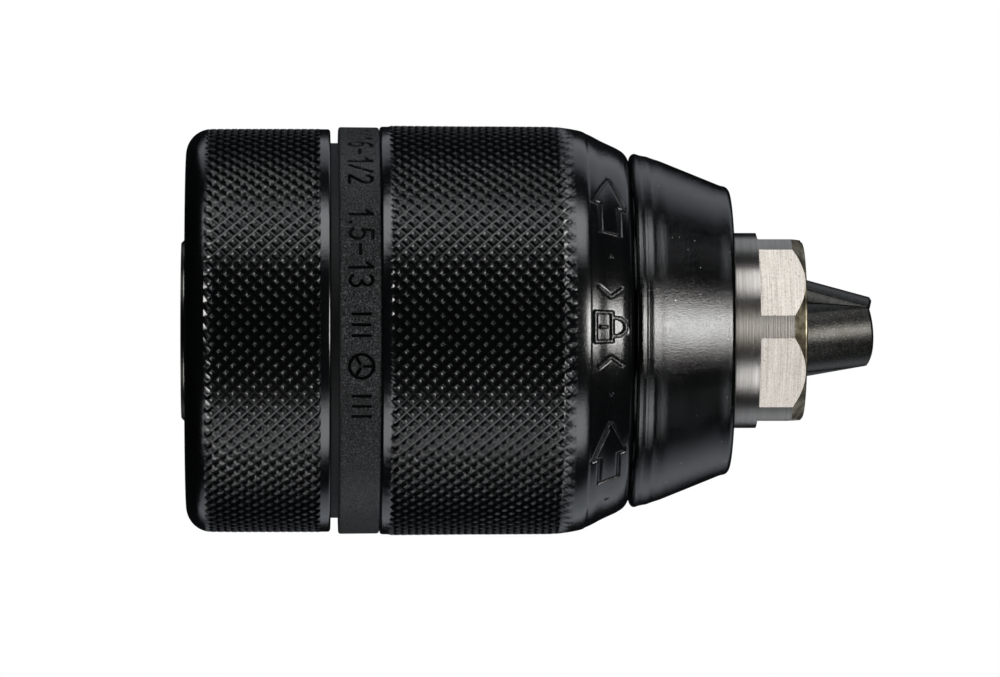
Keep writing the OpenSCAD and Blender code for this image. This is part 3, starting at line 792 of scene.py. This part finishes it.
class Nodes:
    """Short names for building a material's nodes."""

    def __init__(self, name):
        self.material = bpy.data.materials.new(name)
        self.material.use_nodes = True
        self.tree = self.material.node_tree
        self.shader = self.tree.nodes["Principled BSDF"]
        self.place = self.add("ShaderNodeTexCoord").outputs["Object"]

    def add(self, kind, **inputs):
        node = self.tree.nodes.new(kind)
        for key, value in inputs.items():
            self.put(node.inputs[key.replace("_", " ")], value)
        return node

    def put(self, socket, value):
        if isinstance(value, bpy.types.NodeSocket):
            self.tree.links.new(value, socket)
        else:
            socket.default_value = value

    def maths(self, operation, a, b=0.0, clamp=False):
        node = self.tree.nodes.new("ShaderNodeMath")
        node.operation = operation
        node.use_clamp = clamp
        self.put(node.inputs[0], a)
        self.put(node.inputs[1], b)
        return node.outputs[0]

    def scaled(self, x, y, z):
        """Object coordinates times a factor along each axis."""
        node = self.tree.nodes.new("ShaderNodeVectorMath")
        node.operation = "MULTIPLY"
        self.put(node.inputs[0], self.place)
        node.inputs[1].default_value = (x, y, z)
        return node.outputs[0]

    def noise(self, vector, scale, detail=3.0, roughness=0.55):
        node = self.add("ShaderNodeTexNoise", Vector=vector, Scale=scale, Detail=detail, Roughness=roughness)
        return node.outputs["Fac"]

    def lines(self, around, along, detail=3.0, roughness=0.55):
        """Machining lines that run round the axis."""
        return self.noise(self.scaled(around, around, along), 1.0, detail, roughness)

    def spots(self, scale, size):
        """1 in small round spots scattered over the surface and 0 elsewhere."""
        node = self.add("ShaderNodeTexVoronoi", Vector=self.place, Scale=scale)
        return self.maths("LESS_THAN", node.outputs["Distance"], size)

    def spots_along(self, around, along, size):
        """1 in a few thin marks that are stretched round the axis, and 0 elsewhere."""
        node = self.add("ShaderNodeTexVoronoi", Vector=self.scaled(around, around, along), Scale=1.0)
        return self.maths("LESS_THAN", node.outputs["Distance"], size)

    def range(self, value, low, high, to_low, to_high):
        limits = {"From_Min": low, "From_Max": high, "To_Min": to_low, "To_Max": to_high}
        return self.add("ShaderNodeMapRange", Value=value, **limits).outputs["Result"]

    def share(self, value, low, high):
        """0 where the value is low and 1 where it is high."""
        return self.range(value, low, high, 0.0, 1.0)

    def spread(self, noise, to_low, to_high):
        """A noise's usual range brought between two values."""
        return self.range(noise, 0.3, 0.7, to_low, to_high)

    def mix(self, factor, a, b):
        node = self.tree.nodes.new("ShaderNodeMix")
        node.data_type = "RGBA"
        self.put(node.inputs["Factor"], factor)
        self.put(node.inputs["A"], a)
        self.put(node.inputs["B"], b)
        return node.outputs["Result"]

    def mark(self):
        node = self.add("ShaderNodeAttribute")
        node.attribute_name = "mark"
        return node.outputs["Fac"]

    def bump(self, height, microns, strength=1.0, normal=None):
        node = self.add("ShaderNodeBump", Height=height, Distance=microns * MICRON, Strength=strength)
        if normal is not None:
            self.put(node.inputs["Normal"], normal)
        return node.outputs["Normal"]

    def finish(self, colour, rough, normal=None, metal=0.0, **constants):
        self.put(self.shader.inputs["Base Color"], colour)
        self.put(self.shader.inputs["Roughness"], rough)
        self.put(self.shader.inputs["Metallic"], metal)
        if normal is not None:
            self.put(self.shader.inputs["Normal"], normal)
        for key, value in constants.items():
            self.put(self.shader.inputs[key.replace("_", " ")], value)
        return self.material


def grey(value, blue=0.0):
    return (value, value * (1 + blue / 2), value * (1 + blue), 1.0)


def sleeve_plastic():
    """Black moulded plastic, satin, with a fine stipple and craters in the knurl's diamonds."""
    n = Nodes("sleeve_plastic")
    cloud = n.noise(n.place, 900.0)
    grain = n.noise(n.place, 6000.0, 3.0, 0.75)
    colour = n.mix(cloud, grey(0.0008, 0.2), grey(0.0022, 0.2))
    rough = n.spread(grain, 0.1, 0.22)
    crater = n.bump(n.range(n.mark(), 0.55, 0.9, 1.0, 0.0), 75)
    normal = n.bump(grain, 40, n.range(n.mark(), 0.0, 0.3, 0.28, 0.8), crater)
    return n.finish(colour, rough, normal, IOR=1.5)


def ring_plastic():
    """Dark grey plastic with a spark-eroded grain, whose light grey specks in the colour are painted glints.
    """
    n = Nodes("ring_plastic")
    grain = n.noise(n.place, 5400.0, 4.0, 0.75)
    # Painted glints: light grey specks where the grain noise is high, over the dark base colour
    colour = n.mix(n.share(grain, 0.54, 0.66), grey(0.0005, 0.15), grey(0.11, 0.15))
    dark = n.mix(n.mark(), colour, grey(0.0008))
    rough = n.range(grain, 0.4, 0.6, 0.24, 0.5)
    normal = n.bump(grain, 300, n.range(n.mark(), 0.0, 0.6, 1.0, 0.15))
    shine = n.range(n.mark(), 0.1, 0.7, 0.5, 0.03)
    return n.finish(dark, rough, normal, IOR=1.38, Specular_IOR_Level=shine)


def nose_black():
    """Gloss black with an orange-peel skin, fine scratches and dust."""
    n = Nodes("nose_black")
    peel = n.noise(n.place, 6000.0, 3.0, 0.6)
    dust = n.maths("MULTIPLY", n.spots(900.0, 0.05), n.share(n.noise(n.place, 3000.0), 0.45, 0.55))
    scratch = n.spots_along(70.0, 700.0, 0.03)
    colour = n.mix(dust, grey(0.0008, 0.2), grey(0.22))
    colour = n.mix(scratch, colour, grey(0.06))
    rough = n.spread(n.noise(n.place, 400.0), 0.1, 0.2)
    normal = n.bump(peel, 40, 0.7)
    return n.finish(colour, rough, normal, IOR=1.5)


def turned_steel():
    """Polished steel with turning lines round the axis, which spread its highlights along it."""
    n = Nodes("body_steel_turned")
    lines = n.lines(60.0, 8000.0, 4.0, 0.6)
    blotch = n.noise(n.place, 350.0)
    colour = n.mix(blotch, (0.24, 0.225, 0.21, 1.0), (0.37, 0.36, 0.35, 1.0))
    colour = n.mix(lines, colour, (0.16, 0.145, 0.125, 1.0))
    rough = n.spread(lines, 0.3, 0.42)
    normal = n.bump(lines, 30, 0.8)
    return n.finish(colour, rough, normal, 1.0, Anisotropic=0.85, Anisotropic_Rotation=0.25)


def ground_steel():
    """Bright ground flats with fine cross lines and pits."""
    n = Nodes("body_steel_ground")
    lines = n.lines(150.0, 7000.0, 4.0, 0.65)
    speckle = n.noise(n.place, 4500.0, 3.0, 0.7)
    pits = n.spots(1600.0, 0.1)
    mottle = n.maths("ADD", n.maths("MULTIPLY", lines, 0.6), n.maths("MULTIPLY", speckle, 0.6))
    colour = n.mix(n.share(mottle, 0.45, 0.75), (0.26, 0.228, 0.195, 1.0), (0.53, 0.492, 0.448, 1.0))
    colour = n.mix(pits, colour, (0.08, 0.07, 0.06, 1.0))
    rough = n.spread(speckle, 0.42, 0.56)
    normal = n.bump(n.maths("ADD", lines, n.maths("MULTIPLY", speckle, 1.5)), 20, 0.4)
    return n.finish(colour, rough, normal, 1.0)


def tinted_steel():
    """Golden brown steel of the front chamfer."""
    n = Nodes("body_steel_tinted")
    lines = n.lines(100.0, 8000.0, 4.0, 0.6)
    blotch = n.noise(n.place, 800.0)
    colour = n.mix(n.share(blotch, 0.35, 0.65), (0.06, 0.052, 0.033, 1.0), (0.27, 0.235, 0.165, 1.0))
    rough = n.spread(lines, 0.36, 0.5)
    return n.finish(colour, rough, n.bump(lines, 30, 0.6), 1.0)


def bore_steel():
    """Oily grey steel inside the bores."""
    n = Nodes("body_steel_bore")
    blotch = n.noise(n.place, 600.0)
    colour = n.mix(blotch, (0.10, 0.10, 0.095, 1.0), (0.22, 0.21, 0.2, 1.0))
    lines = n.lines(100.0, 6000.0)
    return n.finish(colour, n.spread(lines, 0.3, 0.5), n.bump(lines, 30, 0.5), 1.0)


def jaw_steel():
    """Dark hardened steel with fine streaks and a few bright grains."""
    n = Nodes("jaw_steel")
    blotch = n.noise(n.place, 700.0, 4.0, 0.65)
    grains = n.noise(n.place, 6000.0, 3.0, 0.7)
    colour = n.mix(blotch, (0.016, 0.016, 0.013, 1.0), (0.036, 0.036, 0.035, 1.0))
    colour = n.mix(n.share(grains, 0.52, 0.78), colour, (0.11, 0.1, 0.09, 1.0))
    rough = n.spread(grains, 0.26, 0.4)
    return n.finish(colour, rough, n.bump(grains, 30, 0.7), 1.0)


def plain_steel(name, dark, light, low, high):
    """Steel of a hidden part, with soft blotches and machining lines."""
    n = Nodes(name)
    blotch = n.noise(n.place, 500.0)
    lines = n.lines(100.0, 6000.0)
    colour = n.mix(blotch, dark, light)
    return n.finish(colour, n.spread(lines, low, high), n.bump(lines, 20, 0.5), 1.0)


def core_plastic():
    """Dark matte plastic of the drive sleeve."""
    n = Nodes("core_plastic")
    grain = n.noise(n.place, 5000.0)
    colour = n.mix(grain, grey(0.002), grey(0.014))
    return n.finish(colour, n.spread(grain, 0.45, 0.65), n.bump(grain, 100, 0.8), IOR=1.38)


# ---------------------------------------------------------------- scene

def dress(obj, body, nodes, materials):
    """Makes obj ride on a body in place of CAD nodes, with its materials."""
    for material in materials:
        obj.data.materials.append(material)
    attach(obj, body)
    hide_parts(*nodes)


def dress_nodes(material, names):
    """Gives CAD nodes that stay their material."""
    for name in names:
        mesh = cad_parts[name].data
        mesh.materials.clear()
        mesh.materials.append(material)


def soft_box(name, azimuth, elevation, distance, width, height, power, colour):
    """A rectangular light. Azimuth goes from the camera's side towards -X, and height runs along Z."""
    a, e = math.radians(azimuth), math.radians(elevation)
    way = Vector((-math.sin(a) * math.cos(e), -math.cos(a) * math.cos(e), math.sin(e)))
    data = bpy.data.lights.new(name, "AREA")
    data.shape = "RECTANGLE"
    data.size, data.size_y = width, height
    data.energy = power
    data.color = colour
    light = bpy.data.objects.new(name, data)
    light.location = Vector(SOFT_BOX_TARGET) + way * distance
    light.rotation_mode = "QUATERNION"
    light.rotation_quaternion = way.to_track_quat("Z", "Y")
    bpy.context.scene.collection.objects.link(light)


def studio():
    """Soft boxes and a white surround that only the camera sees, with a dim one for the object."""
    for name, settings in SOFT_BOXES.items():
        soft_box(name, *settings)
    world = bpy.data.worlds.new("surround")
    bpy.context.scene.world = world
    world.use_nodes = True
    tree = world.node_tree
    seen = tree.nodes["Background"]
    seen.inputs["Color"].default_value = (1, 1, 1, 1)
    seen.inputs["Strength"].default_value = 1.0
    dim = tree.nodes.new("ShaderNodeBackground")
    dim.inputs["Color"].default_value = SURROUND_COLOUR
    dim.inputs["Strength"].default_value = SURROUND_STRENGTH
    path = tree.nodes.new("ShaderNodeLightPath")
    blend = tree.nodes.new("ShaderNodeMixShader")
    tree.links.new(path.outputs["Is Camera Ray"], blend.inputs[0])
    tree.links.new(dim.outputs[0], blend.inputs[1])
    tree.links.new(seen.outputs[0], blend.inputs[2])
    tree.links.new(blend.outputs[0], tree.nodes["World Output"].inputs["Surface"])
    bpy.context.scene.view_settings.view_transform = "Standard"


def floor():
    """Pale floor under the shank, seen only by the camera."""
    mesh = bpy.data.meshes.new("floor")
    maker = bmesh.new()
    bmesh.ops.create_circle(maker, cap_ends=True, radius=FLOOR_R, segments=FLOOR_STEPS)
    maker.to_mesh(mesh)
    maker.free()
    obj = bpy.data.objects.new("floor", mesh)
    obj.location.z = -FLOOR_DROP
    bpy.context.scene.collection.objects.link(obj)
    n = Nodes("pale_floor")
    glow = n.add("ShaderNodeEmission", Color=(1, 1, 1, 1), Strength=1.0)
    n.tree.links.new(glow.outputs[0], n.tree.nodes["Material Output"].inputs["Surface"])
    mesh.materials.append(n.material)
    obj.visible_glossy = obj.visible_diffuse = obj.visible_shadow = False


def camera():
    """Long lens, with -X up and the nose pointing right."""
    yaw = math.radians(CAMERA_YAW)
    c, s = math.cos(yaw), math.sin(yaw)
    data = bpy.data.cameras.new("camera")
    data.lens, data.sensor_width = CAMERA_LENS, CAMERA_SENSOR
    data.clip_start, data.clip_end = CAMERA_CLIP
    obj = bpy.data.objects.new("camera", data)
    right, up, back = Vector((0, -s, c)), Vector((-1, 0, 0)), Vector((0, -c, -s))
    place = Vector(CAMERA_TARGET) + back * CAMERA_DISTANCE
    turn = Matrix((right, up, back)).transposed().to_4x4()
    obj.matrix_world = Matrix.Translation(place) @ turn
    bpy.context.scene.collection.objects.link(obj)
    bpy.context.scene.camera = obj


def pieces():
    """Every visible piece, each on its CAD body."""
    sleeve = sleeve_plastic()
    dress(holding_sleeve(), "body", ["holding_sleeve"], [sleeve])
    dress(clamping_sleeve(), "sleeve", ["clamping_sleeve"], [sleeve])
    dress(marking_ring(), "sleeve", ["marking_ring"], [ring_plastic()])
    dress(nose_cone(), "body", ["nose_cone"], [nose_black()])
    steels = [turned_steel(), ground_steel(), tinted_steel(), bore_steel()]
    dress(chuck_body(), "body", ["chuck_body"], steels)
    hard = jaw_steel()
    for k, azimuth in enumerate(JAW_AZIMUTHS):
        dress(jaw(k + 1, azimuth), f"jaw_{k + 1}", [f"jaw_{k + 1}"], [hard])
    hardened = plain_steel("hardened_steel", (0.16, 0.16, 0.165, 1), (0.3, 0.3, 0.3, 1), 0.25, 0.45)
    spring = plain_steel("spring_steel", (0.2, 0.21, 0.24, 1), (0.34, 0.35, 0.38, 1), 0.2, 0.35)
    bearing = plain_steel("bearing_steel", (0.5, 0.5, 0.51, 1), (0.68, 0.68, 0.69, 1), 0.08, 0.2)
    brass = plain_steel("cage_brass", (0.42, 0.3, 0.13, 1), (0.6, 0.45, 0.22, 1), 0.22, 0.4)
    dress_nodes(hardened, ("ratchet_ring", "nut_half_a", "nut_half_b", "nut_band", "holding_insert"))
    dress_nodes(spring, ("snap_ring", "pawl_spring"))
    dress_nodes(bearing, ("rear_thrust_washer", "bearing_balls", "front_thrust_washer"))
    dress_nodes(brass, ("ball_cage",))
    dress_nodes(core_plastic(), ("drive_sleeve",))


camera()
studio()
floor()
pieces()
